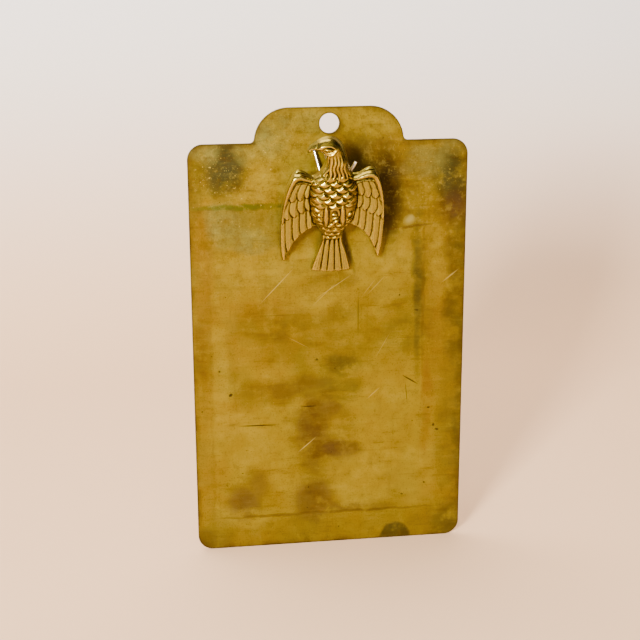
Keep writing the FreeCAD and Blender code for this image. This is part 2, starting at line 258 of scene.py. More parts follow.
def make_lights():
    """A window-like key from the upper left, a weak fill, and a sky that darkens to the right."""
    add_area("key", (-1.05, -1.75, 0.50), (0, 0, -0.1), 0.36, 0.50, 144, (1.0, 0.965, 0.92))
    add_area("fill", (0.5, -1.9, 0.5), (0, 0, -0.1), 0.8, 1.0, 5, (1.0, 0.95, 0.9))
    add_area("back_wash", (-0.4, 0.1, 1.5), (0.1, 0.75, 0.3), 1.4, 0.8, 30, (1.0, 0.98, 0.96))
    world = bpy.data.worlds.new("sky")
    world.use_nodes = True
    tree = world.node_tree
    place = tree.nodes.new("ShaderNodeTexCoord")
    split = tree.nodes.new("ShaderNodeSeparateXYZ")
    fade = tree.nodes.new("ShaderNodeMapRange")
    fade.interpolation_type = "SMOOTHSTEP"
    for name, value in (("From Max", 0.75), ("To Min", 0.34), ("To Max", 0.04)):
        fade.inputs[name].default_value = value
    tree.links.new(place.outputs["Generated"], split.inputs[0])
    tree.links.new(split.outputs[0], fade.inputs["Value"])
    tree.links.new(fade.outputs[0], tree.nodes["Background"].inputs["Strength"])
    tree.nodes["Background"].inputs["Color"].default_value = (1.0, 0.95, 0.90, 1)
    bpy.context.scene.world = world


make_camera()
make_stage()
make_lights()


# ---- the eagle's relief

CELL = 0.25
FINE = 2
GRID_LOW = (-29.5, -46.0)
GRID_COUNT = (236, 332)
BACK_PLANE = 3.7
EDGE = 0.35


def fine_grid():
    """The relief's sample points, FINE of them along each side of a mesh cell."""
    step = CELL / FINE
    across = GRID_LOW[0] + step * np.arange(GRID_COUNT[0] * FINE + 1)
    up = GRID_LOW[1] + step * np.arange(GRID_COUNT[1] * FINE + 1)
    return np.meshgrid(across, up)


GX, GY = fine_grid()


def smooth_line(points, closed=False, spans=8):
    """Points along a Catmull-Rom curve through the given ones."""
    ring = [np.array(p, float) for p in points]
    count = len(ring)
    if not closed:
        ring = [2 * ring[0] - ring[1]] + ring + [2 * ring[-1] - ring[-2]]
    result = []
    for index in range(count if closed else count - 1):
        if closed:
            a, b, c, d = (ring[(index + k - 1) % count] for k in range(4))
        else:
            a, b, c, d = ring[index:index + 4]
        for step in range(spans):
            t = step / spans
            result.append(0.5 * (2 * b + (c - a) * t + (2 * a - 5 * b + 4 * c - d) * t ** 2
                                 + (3 * b - a - 3 * c + d) * t ** 3))
    if not closed:
        result.append(ring[-2])
    return np.array(result)


def outline_depth(x, y, loop):
    """How far inside a closed outline each point is; negative outside."""
    nearest = np.full(x.shape, 1e9)
    inside = np.zeros(x.shape, bool)
    for (ax, ay), (bx, by) in zip(loop, np.roll(loop, -1, axis=0)):
        dx, dy = bx - ax, by - ay
        along = np.clip(((x - ax) * dx + (y - ay) * dy) / (dx * dx + dy * dy + 1e-12), 0, 1)
        nearest = np.minimum(nearest, (x - ax - along * dx) ** 2 + (y - ay - along * dy) ** 2)
        if dy:
            inside ^= ((ay > y) != (by > y)) & (x < ax + (y - ay) * dx / dy)
    return np.sqrt(nearest) * np.where(inside, 1, -1)


def inside_outline(points):
    """How far inside the smooth closed curve through some points the grid's points are."""
    return outline_depth(GX, GY, smooth_line(points, closed=True, spans=4))


def along_line(x, y, line):
    """For each point, how far along a line it lies (0 to 1), and how far to the line's left."""
    lengths = np.hypot(*np.diff(line, axis=0).T)
    starts = np.concatenate([[0], np.cumsum(lengths)])
    nearest = np.full(x.shape, 1e9)
    progress = np.zeros(x.shape)
    side = np.zeros(x.shape)
    for index, length in enumerate(lengths):
        (ax, ay), (bx, by) = line[index], line[index + 1]
        dx, dy = (bx - ax) / length, (by - ay) / length
        along = np.clip((x - ax) * dx + (y - ay) * dy, 0, length)
        distance = np.hypot(x - ax - along * dx, y - ay - along * dy)
        closer = distance < nearest
        nearest = np.where(closer, distance, nearest)
        progress = np.where(closer, (starts[index] + along) / starts[-1], progress)
        side = np.where(closer, np.copysign(distance, (y - ay) * dx - (x - ax) * dy), side)
    return progress, side


def ramp(value, low, high):
    """0 below low, 1 above high, and a smooth step between."""
    t = np.clip((value - low) / (high - low), 0, 1)
    return t * t * (3 - 2 * t)


def quarter_round(depth, radius):
    """0 at an edge, 1 from one radius inside it, as a quarter circle."""
    return np.sqrt(np.clip(1 - (1 - np.clip(depth / radius, 0, 1)) ** 2, 0, 1))


def at_knots(progress, values):
    """Values given at even steps along a line, read off at each point's progress."""
    return np.interp(progress, np.linspace(0, 1, len(values)), values)


class Relief:
    """Heights in millimetres over the grid. Shapes are laid on it, and the highest one shows."""

    def __init__(self, height):
        self.height = height
        self.ground = height.copy()

    def window(self, line, margin):
        """The part of the grid around some points."""
        step = CELL / FINE
        low = (np.min(line, axis=0) - margin - GRID_LOW) / step
        high = (np.max(line, axis=0) + margin - GRID_LOW) / step
        first = np.maximum(low.astype(int), 0)
        last = high.astype(int) + 2
        return slice(first[1], last[1]), slice(first[0], last[0])

    def near(self, points, margin):
        """The part of the grid near a smooth line, and how far along and beside it that lies."""
        line = smooth_line(points)
        part = self.window(line, margin)
        return part, *along_line(GX[part], GY[part], line)

    def lay(self, part, shown, heights):
        self.height[part] = np.where(shown, np.maximum(self.height[part], heights), self.height[part])

    def ridge(self, points, half_widths, heights):
        """A rounded bar along a line, with its widths and heights given at even steps."""
        part, progress, side = self.near(points, max(half_widths) + 0.5)
        t = np.abs(side) / at_knots(progress, half_widths)
        self.lay(part, t < 1, at_knots(progress, heights) * np.clip(1 - t ** 2.6, 0, 1) ** 0.8)

    def feather(self, points, half_width, root, tip, crown, quill):
        """A wing feather, tilted over its neighbour, higher at its pointed tip, with a quill."""
        part, progress, side = self.near(points, half_width + 0.5)
        end = np.clip((progress - 0.55) / 0.45, 0, 1)
        t = np.abs(side) / (half_width * (1 - end ** 2.4) ** 0.6 + 0.01)
        heights = root + (tip - root) * progress + crown * (1 - np.clip(t, 0, 1) ** 2.1)
        heights += 0.22 * side * np.sign(points[0][0]) + quill * np.exp(-(side / 0.24) ** 2)
        self.lay(part, (t < 1) & (end < 1), heights)

    def bulge(self, points, half_widths, lift):
        """A soft-topped swelling along a line, standing on the ground surface."""
        part, progress, side = self.near(points, max(half_widths) + 0.5)
        t = np.abs(side) / at_knots(progress, half_widths)
        rise = lift * np.clip(1 - t ** 2.4, 0, 1) * ramp(progress, -0.05, 0.4)
        self.lay(part, t < 1, self.ground[part] + rise)

    def leaf(self, x, y, half_length, half_width, turn, lift):
        """A pointed oval swelling on the ground surface, turned by so many degrees."""
        part = self.window([(x, y)], half_length + 0.5)
        c, s = math.cos(math.radians(turn)), math.sin(math.radians(turn))
        u = ((GX[part] - x) * c + (GY[part] - y) * s) / half_length
        v = ((GY[part] - y) * c - (GX[part] - x) * s) / half_width
        t = np.hypot(u, v)
        self.lay(part, t < 1, self.ground[part] + lift * np.clip(1 - t ** 2.6, 0, 1))

    def scale(self, x, y, half_width, reach, lift):
        """A breast feather: a rounded lower lip, a full middle, and a top tucked under two others."""
        part = self.window([(x, y), (x, y + reach)], half_width + 0.5)
        u = (GX[part] - x) / half_width
        up = GY[part] - y
        inward = up - 0.62 * half_width * u ** 2
        under = half_width * (0.8 + 0.62 * (np.abs(u) - 0.92) ** 2) - up
        rise = 0.55 * ramp(inward, -0.05, 0.4) + 0.45 * ramp(inward, 0.1, 1.6)
        rise *= 0.2 + 0.8 * ramp(under, -0.1, 0.42 * half_width)
        shown = (np.abs(u) < 1) & (inward > -0.05) & (up < reach)
        self.lay(part, shown, self.ground[part] + lift * rise)

    def carve(self, points, half_width, depth):
        """A groove along a line, or a soft welt if the depth is negative."""
        part, _, side = self.near(points, 3 * half_width)
        self.height[part] -= depth * np.exp(-(side / half_width) ** 2)


def blurred(field, sigma):
    """A Gaussian blur, with sigma in millimetres."""
    reach = int(3 * sigma * FINE / CELL) + 1
    kernel = np.exp(-0.5 * (np.arange(-reach, reach + 1) * CELL / FINE / sigma) ** 2)
    kernel /= kernel.sum()
    padded = np.pad(field, reach, mode="edge")
    rows = sum(k * padded[:, i:i + field.shape[1]] for i, k in enumerate(kernel))
    return sum(k * rows[i:i + field.shape[0]] for i, k in enumerate(kernel))


# Outlines, as the points that a smooth curve needs. The wing is the one at positive x.
WING_DROPS = ((-1, 1.3), (1, 0.4))
WING = [
    (7.0, 12.5), (9.5, 14.6), (12.8, 15.0), (15.5, 16.7), (18.6, 18.1), (21.3, 17.0), (23.6, 12.8),
    (25.5, 7.0), (27.0, -0.5), (28.0, -10.0), (28.2, -20.0), (27.8, -29.0), (26.9, -35.4),
    (26.0, -36.5), (24.8, -35.6), (23.8, -32.4), (22.6, -29.2), (19.8, -24.0), (16.6, -20.0),
    (13.0, -17.2), (9.5, -15.6), (5.0, -14.0), (3.0, 0.0),
]
TAIL = [
    (-5.0, -20.0), (-5.5, -25.0), (-8.0, -34.0), (-10.6, -42.6), (-10.2, -43.9), (-8.0, -44.3),
    (-5.6, -44.7), (-1.8, -45.0), (2.4, -45.0), (6.8, -44.7), (10.2, -44.0), (11.1, -42.8),
    (8.6, -34.0), (5.6, -25.0), (5.2, -20.0),
]
TRUNK = [
    (-2.6, -25.9), (-5.2, -24.6), (-6.0, -21.3), (-8.2, -17.2), (-11.4, -13.0), (-13.0, -7.0),
    (-13.7, 0.0), (-13.9, 6.0), (-13.7, 10.0), (-12.3, 12.8), (-9.0, 15.2), (-6.6, 18.4), (-5.2, 21.6),
    (-5.6, 24.2), (-7.2, 26.4), (-9.8, 27.6), (-11.8, 27.7), (-12.8, 27.0), (-13.9, 26.1),
    (-14.6, 26.8), (-14.9, 28.2), (-14.0, 30.1), (-11.9, 31.9), (-8.4, 34.4), (-3.9, 35.6),
    (-0.2, 34.8), (2.6, 32.3), (4.6, 29.0), (6.1, 24.4), (7.6, 18.6), (9.2, 14.6), (10.8, 12.2),
    (12.4, 9.0), (13.0, 2.0), (12.8, -4.0), (12.0, -9.4), (10.6, -13.6), (7.4, -17.8),
    (5.8, -21.6), (5.2, -24.6), (2.6, -25.9),
]
COVERTS_SMALL = [
    [(21.4, 11.0), (24.4, 5.4), (26.2, -1.8)], [(18.0, 11.6), (20.6, 6.6), (22.6, 0.4)],
    [(14.8, 11.6), (16.4, 7.0), (18.4, 1.2)], [(11.8, 10.6), (13.0, 6.8), (14.8, 2.6)],
]
COVERTS_LARGE = [
    [(25.8, 1.0), (27.0, -5.6), (27.0, -12.8)], [(23.2, 2.4), (24.6, -4.0), (24.6, -10.6)],
    [(19.4, 3.2), (20.8, -2.8), (20.8, -9.1)], [(15.8, 4.0), (16.8, -1.4), (16.8, -6.8)],
    [(12.6, 4.0), (13.2, -0.6), (13.2, -5.2)],
]
PRIMARIES = [
    [(26.6, -8.0), (26.2, -20.0), (25.6, -36.4)], [(23.2, -7.0), (23.0, -18.0), (22.6, -32.0)],
    [(19.2, -5.6), (19.2, -15.0), (18.8, -26.4)], [(15.4, -4.4), (15.4, -12.5), (15.0, -22.0)],
    [(12.0, -3.6), (12.0, -10.0), (11.6, -19.0)],
]
ARM = [
    (8.0, 12.4), (12.0, 12.6), (15.6, 13.8), (18.8, 14.5), (21.8, 13.0), (24.4, 8.0),
    (26.2, 0.6), (27.4, -8.0), (28.0, -17.0),
]
CORD = [
    (9.6, 9.8), (12.0, 10.3), (15.4, 11.4), (19.2, 11.4), (21.8, 10.6), (23.4, 8.6),
    (25.1, 3.8), (26.6, -3.0), (27.2, -9.0),
]


def sculpt_wing(relief, side, drop):
    """A wing: a web, three tiers of feathers, and the polished arm with its raised cord."""
    def placed(points):
        return [(side * x, y - drop) for x, y in points]

    depth = inside_outline(placed(WING))
    relief.height = np.maximum(relief.height, np.where(depth > 0, 1.5, 0))
    before = relief.height.copy()
    tiers = (
        (PRIMARIES, (1.6, 2.3, 2.3, 2.3, 2.0), 1.7, 1.9, 0.6, 0.25),
        (COVERTS_LARGE, (1.5, 2.3, 2.6, 2.5, 2.2), 2.0, 2.6, 0.7, 0.22),
        (COVERTS_SMALL, (2.2, 2.6, 2.5, 2.2), 2.6, 3.2, 0.7, 0.2),
    )
    for feathers, widths, root, tip, crown, quill in tiers:
        for points, width in zip(feathers, widths):
            relief.feather(placed(points), width, root, tip, crown, quill)
    relief.ridge(placed(ARM), [1.4, 1.9, 2.6, 3.2, 3.1, 2.0, 1.2, 0.8, 0.4],
                 [4.4, 4.5, 4.8, 5.1, 4.9, 4.2, 3.6, 3.0, 2.2])
    relief.ridge(placed(CORD), [0.6, 0.6, 0.6, 0.6, 0.6, 0.55, 0.5, 0.45, 0.35],
                 [4.0, 4.1, 4.2, 4.2, 4.1, 3.9, 3.6, 3.2, 2.8])
    relief.height = np.where(depth > 0, relief.height, before)
    return depth


def sculpt_tail(relief):
    """The fan: five broad feathers side by side, with a quill and two flutes on each."""
    depth = inside_outline(TAIL)
    top = (-5.6, -3.3, -0.9, 1.3, 3.1, 5.6)
    bottom = (-11.1, -5.6, -1.9, 2.3, 6.7, 11.4)
    fan = np.where(depth > 0, 1.6, 0)
    for index in range(5):
        left, right = (top[index], bottom[index]), (top[index + 1], bottom[index + 1])
        line = np.array([(0.5 * (left[0] + right[0]), -22.0), (0.5 * (left[1] + right[1]), -45.2)])
        progress, side = along_line(GX, GY, line)
        half = 0.5 * (right[0] - left[0]) * (1 - progress) + 0.5 * (right[1] - left[1]) * progress
        t = np.clip(np.abs(side) / half, 0, 1)
        heights = 1.9 + 0.6 * (1 - t ** 2.4) + 0.28 * np.exp(-(side / 0.32) ** 2)
        heights += 0.25 * np.exp(-((t - 0.55) * half / 0.3) ** 2) * ramp(progress, 0.1, 0.5)
        heights += 0.7 * (1 - ramp(progress, 0.05, 0.35)) * (1 - t ** 3)
        fan = np.where((depth > 0) & (t < 1), np.maximum(fan, heights), fan)
    relief.height = np.maximum(relief.height, fan)
    return depth


def trunk_ground(depth):
    """Breast, neck and head as one swollen surface over the trunk's outline."""
    stations = [-25.0, -21.0, -16.0, -10.0, -3.0, 4.0, 10.0, 15.0, 20.0, 25.0, 30.0, 37.0]
    full = np.interp(GY, stations, [3.4, 4.6, 6.6, 8.3, 9.1, 8.9, 7.9, 6.8, 6.2, 6.1, 6.1, 5.7])
    reach = np.interp(GY, stations, [3.2, 4.0, 6.0, 7.6, 8.4, 8.4, 7.6, 6.0, 5.0, 5.0, 5.2, 5.2])
    t = np.clip(depth / reach, 0, 1)
    bill = 1 - 0.45 * ramp(-GX, 8.5, 14.0) * ramp(GY, 24.0, 27.0)
    soft = np.interp(GY, [6.0, 16.0], [0.72, 0.52])
    return np.where(depth > 0, full * bill * (1 - (1 - t) ** 2.2) ** soft, 0)


def sculpt_trunk(relief):
    """The feathers of the breast and belly, the thighs, the hackles and the face."""
    rows = (
        (11.6, (-9.8, -3.0, 3.6, 9.8), 3.6), (8.8, (-13.0, -6.6, 0.2, 6.8, 12.6), 3.6),
        (5.8, (-10.0, -3.3, 3.2, 9.8), 3.6), (2.8, (-13.4, -6.9, 0.0, 6.5, 12.8), 3.6),
        (-0.1, (-10.4, -3.4, 2.9, 9.6), 3.6), (-3.0, (-12.6, -8.0, -0.4, 7.8, 12.0), 3.2),
    )
    for y, centres, half_width in rows:
        for x in centres:
            relief.scale(x + 0.45 * math.sin(2.9 * x + y), y + 0.45 * math.sin(1.9 * x + 2.3 * y),
                         half_width * (1 + 0.08 * math.sin(4.1 * x + y)), 4.4, 1.2)
    for y, x, half_width in ((-6.0, -10.8, 2.9), (-8.4, -8.6, 2.2), (-9.6, -11.6, 2.4),
                             (-11.6, -8.6, 2.6), (-14.2, -7.4, 2.6), (-14.6, -10.4, 2.0),
                             (-13.2, 8.4, 2.6), (-15.4, -2.0, 2.5), (-15.2, 3.4, 2.6),
                             (-15.8, 7.2, 2.2), (-17.6, -5.6, 2.2), (-18.6, -2.8, 2.4),
                             (-18.9, 1.2, 2.8), (-18.2, 5.4, 2.2), (-21.2, -4.2, 2.0),
                             (-21.6, -0.6, 2.5), (-21.4, 3.4, 2.3), (-23.9, -2.6, 2.2),
                             (-24.1, 1.4, 2.4), (-23.7, 4.6, 1.6)):
        relief.scale(x, y, half_width, 3.6, 1.0)
    relief.bulge([(-2.4, -5.6), (-1.8, -3.6), (-0.3, -2.8), (1.6, -3.8), (2.1, -6.6)],
                 [0.5, 0.8, 0.9, 0.8, 0.5], 0.9)
    for leaf in ((-0.2, -6.2, 1.7, 0.85, 5, 0.8),
                 (0.1, -8.4, 2.1, 0.85, 27, 0.9),
                 (0.5, -10.9, 2.2, 1.15, 40, 1.0),
                 (-1.2, -12.8, 1.6, 0.9, 10, 0.9),
                 (8.5, -6.6, 2.1, 1.25, 50, 1.1)):
        relief.leaf(*leaf)
    relief.bulge([(10.9, -5.2), (10.6, -8.2), (8.8, -9.8), (6.9, -9.4)], [0.4, 0.6, 0.6, 0.4], 0.9)
    relief.bulge([(10.2, -10.2), (8.8, -11.6), (6.8, -11.4)], [0.4, 0.6, 0.4], 0.8)
    relief.bulge([(-4.8, 0.6), (-4.8, -5.5), (-4.6, -13.6)], [0.3, 1.1, 1.4, 1.6, 1.5, 0.9], 1.5)
    relief.bulge([(3.9, 1.0), (4.0, -5.5), (4.5, -13.2)], [0.3, 1.1, 1.4, 1.6, 1.6, 1.0], 1.5)
    for lock in ([(-5.0, 25.4), (-6.2, 21.8), (-6.0, 18.6), (-8.2, 16.6), (-9.6, 14.6)],
                 [(-4.2, 27.0), (-4.9, 22.8), (-4.4, 19.4), (-6.4, 16.4), (-6.9, 13.8)],
                 [(-2.8, 27.4), (-2.7, 23.2), (-3.3, 19.8), (-3.0, 16.6), (-4.9, 12.8)],
                 [(-1.2, 27.2), (-0.6, 23.4), (-1.5, 19.8), (-0.8, 16.4), (-2.2, 13.2)],
                 [(0.6, 27.0), (1.3, 23.2), (0.5, 19.8), (1.6, 16.2), (1.2, 12.6)],
                 [(2.2, 27.6), (3.2, 23.4), (2.4, 19.8), (3.6, 16.2), (3.9, 12.8)],
                 [(3.6, 28.0), (4.8, 23.8), (4.3, 20.0), (5.6, 16.6), (6.3, 13.4)],
                 [(4.6, 27.0), (6.0, 22.4), (6.0, 18.6), (7.6, 15.8), (9.0, 13.0)]):
        relief.bulge(lock, [0.5, 1.0, 1.15, 1.2, 1.2, 1.15, 0.85, 0.2], 1.35)
    for groove in (([(-7.6, 29.7), (-5.8, 30.9), (-3.4, 31.0), (-1.6, 30.1)], 0.42, 0.6),
                   ([(-6.8, 29.2), (-4.8, 28.5), (-2.6, 29.1)], 0.38, 0.55),
                   ([(-5.6, 29.9), (-4.4, 30.0), (-3.2, 29.9)], 0.5, -0.5),
                   ([(-8.6, 31.5), (-5.8, 32.1), (-2.8, 31.8), (-1.0, 30.7)], 0.6, -0.4),
                   ([(-7.2, 27.5), (-4.8, 26.6), (-2.2, 27.4), (0.6, 30.4)], 0.5, -0.6),
                   ([(-0.6, 28.3), (1.2, 30.7)], 0.4, 0.4),
                   ([(-12.6, 28.5), (-9.8, 28.8), (-7.6, 28.0), (-6.4, 27.1)], 0.3, 0.5),
                   ([(-10.8, 32.7), (-10.4, 30.7), (-11.2, 28.9)], 0.32, 0.4),
                   ([(-12.4, 30.4), (-11.9, 30.1)], 0.25, 0.5)):
        relief.carve(*groove)


def sculpt():
    """The heights above the back plane, and the depth inside the whole outline."""
    relief = Relief(np.zeros(GX.shape))
    depths = [sculpt_wing(relief, side, drop) for side, drop in WING_DROPS]
    depths.append(sculpt_tail(relief))
    trunk_depth = inside_outline(TRUNK)
    trunk = Relief(trunk_ground(trunk_depth))
    sculpt_trunk(trunk)
    body = trunk.height * quarter_round(trunk_depth, 1.0)
    height = np.maximum(relief.height, np.where(trunk_depth > 0, body, 0))
    height = blurred(height, 0.16)
    depth = np.max(depths + [trunk_depth], axis=0)
    return EDGE + np.maximum(height - EDGE, 0.3) * quarter_round(depth, 0.8), depth


def back_heights(depth):
    """The plain back: flat, rounded at its edge, and hollow behind the breast."""
    back = EDGE * (1 - quarter_round(depth, 0.5))
    inner = 1 - (GX / 10.6) ** 2 - ((GY + 3.5) / 17.0) ** 2
    return np.maximum(back, 6.4 * np.sqrt(np.clip(inner, 0, 1)))


def shell_mesh(front, back, depth):
    """One closed skin: the front sheet and the back sheet, joined along the outline."""
    f = depth[::FINE, ::FINE]
    sheets = (front[::FINE, ::FINE], back[::FINE, ::FINE])
    rows, columns = f.shape
    x = GRID_LOW[0] + CELL * np.arange(columns)
    y = GRID_LOW[1] + CELL * np.arange(rows)
    verts, faces, index = [], [], {}

    def corner(spot, sheet):
        key = (spot, sheet)
        if key not in index:
            index[key] = len(verts)
            verts.append((x[spot[1]], y[spot[0]], sheets[sheet][spot]))
        return index[key]

    def crossing(a, b):
        key = (min(a, b), max(a, b))
        if key not in index:
            a, b = key
            share = min(max(f[a] / (f[a] - f[b]), 0.12), 0.88)
            index[key] = len(verts)
            verts.append((x[a[1]] + (x[b[1]] - x[a[1]]) * share,
                          y[a[0]] + (y[b[0]] - y[a[0]]) * share, EDGE))
        return index[key]

    solid = f > 0
    touched = solid[:-1, :-1] | solid[1:, :-1] | solid[:-1, 1:] | solid[1:, 1:]
    for i, j in zip(*np.nonzero(touched)):
        ring = [(i, j), (i, j + 1), (i + 1, j + 1), (i + 1, j)]
        for sheet in (0, 1):
            face = []
            for k in range(4):
                here, after = ring[k], ring[(k + 1) % 4]
                if solid[here]:
                    face.append(corner(here, sheet))
                if solid[here] != solid[after]:
                    face.append(crossing(here, after))
            faces.append(face if sheet == 0 else face[::-1])
    return verts, faces


def lug(side):
    """One bored lug: a straight web with a round end about the hinge, pierced for the pin."""
    inner, outer, radius, bore, top = 7.4, 9.6, 3.3, 1.55, 8.6
    rises = [top * step / 7.5 for step in range(1, 8)]
    rim = arc((0, 0), radius, 180, 360, 16) + [(radius, rise) for rise in rises]
    rim += [(radius - 2 * radius * step / 4, top) for step in range(5)]
    rim += [(-radius, rise) for rise in reversed(rises)]
    turns = [math.atan2(v, u) for u, v in rim]
    hole = [(bore * math.cos(t), bore * math.sin(t)) for t in turns]
    verts = [(side * across, u, v) for across in (inner, outer) for u, v in rim + hole]
    count = len(rim)
    far = 2 * count
    faces = []
    for k in range(count):
        m = (k + 1) % count
        faces.append((k, m, count + m, count + k))
        faces.append((far + m, far + k, far + count + k, far + count + m))
        faces.append((m, k, far + k, far + m))
        faces.append((count + k, count + m, far + count + m, far + count + k))
    return verts, [face[::side] for face in faces]


def make_eagle():
    """The casting in its own frame, leaned back on the hinge, with the recesses marked."""
    front, depth = sculpt()
    verts, faces = shell_mesh(front, back_heights(depth), depth)
    recess = 1.9 * (blurred(front, 0.35) - front) + 0.15 * (blurred(front, 1.2) - front)
    recess *= ramp(depth, 0.2, 1.2)
    spots = [((v[1] - GRID_LOW[1]) / CELL * FINE, (v[0] - GRID_LOW[0]) / CELL * FINE) for v in verts]
    rows, columns = np.rint(spots).astype(int).T
    marks = {"recess": recess[rows, columns], "height": front[rows, columns]}
    verts = [(a, b, c + BACK_PLANE) for a, b, c in verts]
    for side in (-1, 1):
        more, more_faces = lug(side)
        faces += [[len(verts) + k for k in face] for face in more_faces]
        verts += more
    eagle = add_mesh("eagle_relief", verts, faces, sharp=50)
    for name, values in marks.items():
        values = np.append(values, np.zeros(len(verts) - len(values)))
        eagle.data.attributes.new(name, "FLOAT", "POINT").data.foreach_set("value", values)
    eagle.data.transform(Matrix.Translation(HINGE)
                         @ Matrix.Rotation(math.radians(90) + LEAN, 4, "X"))
    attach(eagle, "eagle")
    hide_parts("eagle_casting")
    return eagle


# ---- the sheet, spring and rivets

def sheet_outline():
    """The sheet's outline in millimetres, anticlockwise from its lower left corner."""
    inset, root = SHEET_HALF - SHEET_CORNER, TAB_ROOT_FILLET
    side = TAB_FLAT_HALF + math.sqrt((TAB_RISE + root) ** 2 - root ** 2)
    lean = math.degrees(math.asin(root / (TAB_RISE + root)))
    right = arc((inset, SHEET_FOOT + SHEET_CORNER), SHEET_CORNER, -90, 0, 12)
    right += arc((inset, SHOULDER - SHEET_CORNER), SHEET_CORNER, 0, 90, 12)
    right += arc((side, SHOULDER + root), root, -90, -180 + lean, 6)
    right += arc((TAB_FLAT_HALF, SHOULDER), TAB_RISE, lean, 90, 20)
    return right + [(-x, z) for x, z in reversed(right)]


def make_sheet():
    """The brass sheet with softened edges, pierced by the hang hole."""
    softening = 0.22
    curve = bpy.data.curves.new("sheet_curve", "CURVE")
    curve.dimensions = "2D"
    curve.fill_mode = "BOTH"
    curve.extrude = (SHEET_GAUGE / 2 - softening) * MM
    curve.bevel_depth = softening * MM
    curve.bevel_resolution = 2
    curve.offset = -softening * MM
    for points in (sheet_outline(), arc((0, 0), HOLE_RADIUS, 0, 360, 63)):
        spline = curve.splines.new("POLY")
        spline.points.add(len(points) - 1)
        for point, (x, z) in zip(spline.points, points):
            point.co = (x * MM, z * MM, 0, 1)
        spline.use_cyclic_u = True
    shaper = place_object("sheet_curve", curve)
    bpy.context.view_layer.update()
    mesh = bpy.data.meshes.new_from_object(shaper.evaluated_get(
        bpy.context.evaluated_depsgraph_get()))
    bpy.data.objects.remove(shaper)
    mesh.transform(Matrix.Translation((0, -SHEET_GAUGE / 2 * MM, 0))
                   @ Matrix.Rotation(math.radians(90), 4, "X"))
    bm = bmesh.new()
    bm.from_mesh(mesh)
    bmesh.ops.remove_doubles(bm, verts=bm.verts, dist=1e-6)
    bmesh.ops.recalc_face_normals(bm, faces=bm.faces)
    for face in bm.faces:
        face.smooth = abs(face.normal.y) < 0.999
    bm.to_mesh(mesh)
    bm.free()
    mesh.name = "brass_sheet"
    sheet = place_object("brass_sheet", mesh)
    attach(sheet, "board")
    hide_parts("board_plate")
    return sheet


def bent_leg(start, heading, end):
    """A spring leg: a short rise out of the coil, one bend, and a straight run to its end."""
    rise, bend = 1.4, 2.0
    knee = start + heading * rise
    away = (end - knee).normalized()
    half_turn = heading.angle(away) / 2
    reach = bend * math.tan(half_turn)
    centre = knee + (away - heading).normalized() * (bend / math.cos(half_turn))
    first = knee - heading * reach - centre
    points = [start]
    for step in range(13):
        turn = Matrix.Rotation(2 * half_turn * step / 12, 3, heading.cross(away))
        points.append(centre + turn @ first)
    length = (end - points[-1]).length
    last = points[-1]
    return points + [last + away * length * step / 30 for step in range(1, 31)]


def spring_route():
    """The wire's centre line about the hinge: sheet leg, coil, then neck leg."""
    radius, turns, gap = 2.7, 3.5, 1.0
    climb = COIL_HALF / (math.pi * turns)

    def coil(t):
        return Vector((climb * t - COIL_HALF, radius * math.cos(t), -radius * math.sin(t)))

    def heading(t):
        return Vector((climb, -radius * math.sin(t), -radius * math.cos(t))).normalized()

    last = 2 * math.pi * turns
    sheet_end = Vector((-8.4, HINGE_OUT - SHEET_GAUGE - gap, 22.4))
    neck_end = Matrix.Rotation(math.radians(90) + LEAN, 3, "X") @ Vector(
        (11.4, 19.9, BACK_PLANE - gap))
    sheet_leg = bent_leg(coil(0), -heading(0), sheet_end)
    neck_leg = bent_leg(coil(last), heading(last), neck_end)
    middle = [coil(last * step / 140) for step in range(1, 140)]
    return sheet_leg[::-1] + middle + neck_leg


def make_spring():
    """The torsion spring as one round wire with softened ends."""
    wire, around = 0.9, 20
    route = spring_route()
    first, final = (route[0] - route[1]).normalized(), (route[-1] - route[-2]).normalized()
    stations = [(route[0], 0.55), (route[0] - first * 0.12, 0.85)]
    stations += [(point, 1.0) for point in route[1:-1]]
    stations += [(route[-1] - final * 0.12, 0.85), (route[-1], 0.55)]
    verts = []
    across = Vector((0, 0, 1)).cross(first).normalized()
    for index, (point, swell) in enumerate(stations):
        before = stations[max(index - 1, 0)][0]
        after = stations[min(index + 1, len(stations) - 1)][0]
        along = (after - before).normalized()
        across = (across - along * across.dot(along)).normalized()
        up = along.cross(across)
        for k in range(around):
            turn = 2 * math.pi * k / around
            verts.append(tuple(point + (across * math.cos(turn) + up * math.sin(turn))
                               * wire * swell))
    faces = ring_faces(len(stations), around)
    faces.append(tuple(range(around))[::-1])
    faces.append(tuple((len(stations) - 1) * around + k for k in range(around)))
    spring = add_mesh("spring_wire", verts, faces, sharp=40)
    spring.matrix_world = Matrix.Translation(HINGE)
    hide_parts("torsion_spring")
    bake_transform(spring)
    return spring


def make_rivet(name):
    """A rivet: a hammered dome in front, a shank, and a flush end at the back."""
    low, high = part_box(name)
    up = in_mm((low[2] + high[2]) / 2)
    profile = [(0.9, -4.14), (1.7, -3.92), (2.3, -3.6), (2.6, -3.22), (2.6, -3.1),
               (1.5, -3.05), (1.5, -1.2), (2.1, -0.25), (2.35, -0.02), (2.2, 0.05)]
    around = 36
    verts = []
    for r, y in profile:
        for k in range(around):
            turn = 2 * math.pi * k / around
            verts.append((r * math.cos(turn), y, up + r * math.sin(turn)))
    rows = len(profile)
    faces = ring_faces(rows, around)
    for row, tip_y in ((0, -4.2), (rows - 1, 0.07)):
        tip = len(verts)
        verts.append((0.0, tip_y, up))
        for k in range(around):
            faces.append((tip, row * around + k, row * around + (k + 1) % around))
    rivet = add_mesh(name + "_turned", verts, faces, sharp=40)
    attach(rivet, "board")
    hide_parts(name)
    return rivet


# ---- materials

